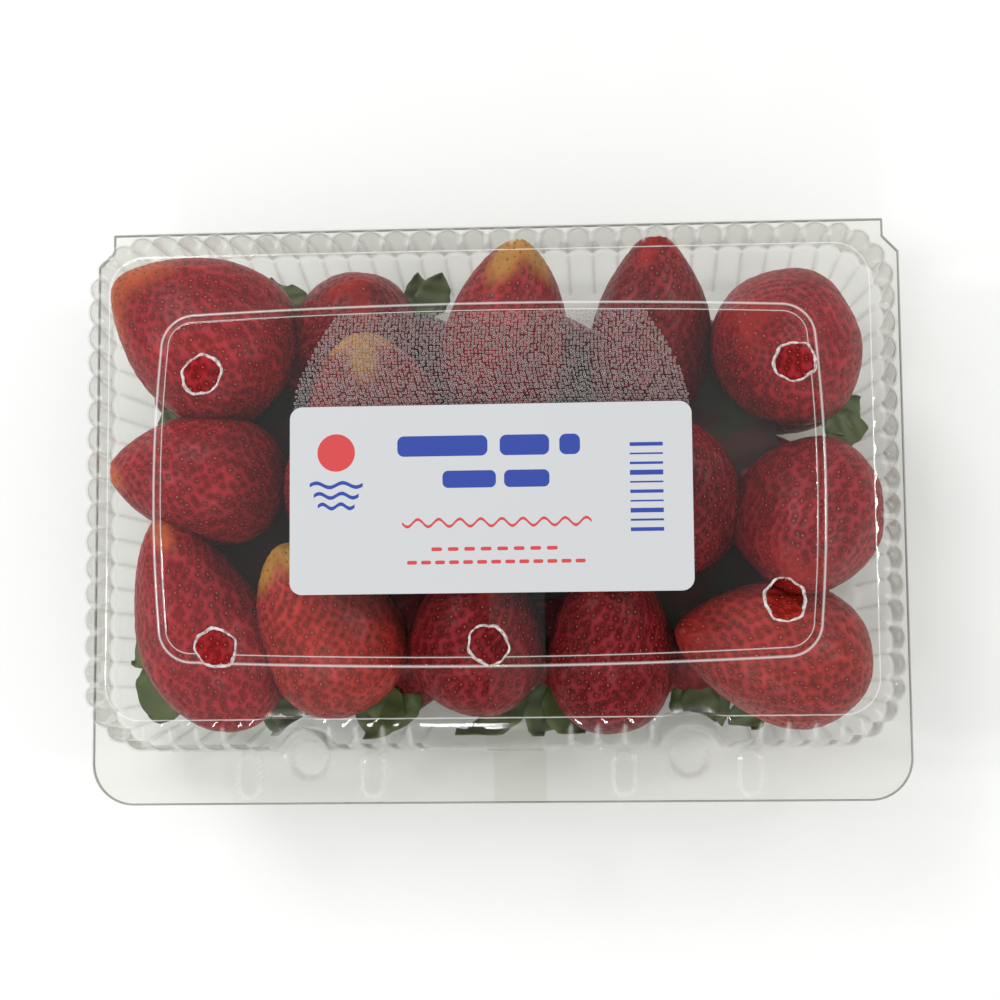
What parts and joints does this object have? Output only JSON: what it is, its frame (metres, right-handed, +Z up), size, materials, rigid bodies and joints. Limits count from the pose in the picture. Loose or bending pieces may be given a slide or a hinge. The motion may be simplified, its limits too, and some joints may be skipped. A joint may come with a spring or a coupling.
{
  "type": "punnet of strawberries",
  "caption": "Large strawberries in a shut clear fluted clamshell punnet, with a plain label on the raised lid panel, melted vents and a seal tape; the lid hinges at the back.",
  "frame": {"origin": "on the surface the tray stands on, under the middle of the flange", "axes": "+X to the right along the long side, -Y to the front with the latch buttons, +Z up"},
  "size_m": [0.213, 0.152, 0.0698],
  "materials": {
    "clear_plastic": "thermoformed clear PET, glossy, slightly fogged inside",
    "clear_tape": "clear film tape, glossy, faintly yellow",
    "label_paper": "white coated paper, satin",
    "strawberry": "ripe berry skin, satin, pitted with small seeds"
  },
  "bodies": {
    "tray": {"tray": "clear_plastic", "strawberries": "strawberry"},
    "lid": {"lid": "clear_plastic", "label": "label_paper", "seal_tape": "clear_tape"}
  },
  "joints": [
    {"name": "lid_hinge", "type": "hinge", "parent": "tray", "child": "lid", "pos_m": [0, 0.076, 0.02815], "axis": [-1, 0, 0], "range_deg": [0, 140]}
  ]
}
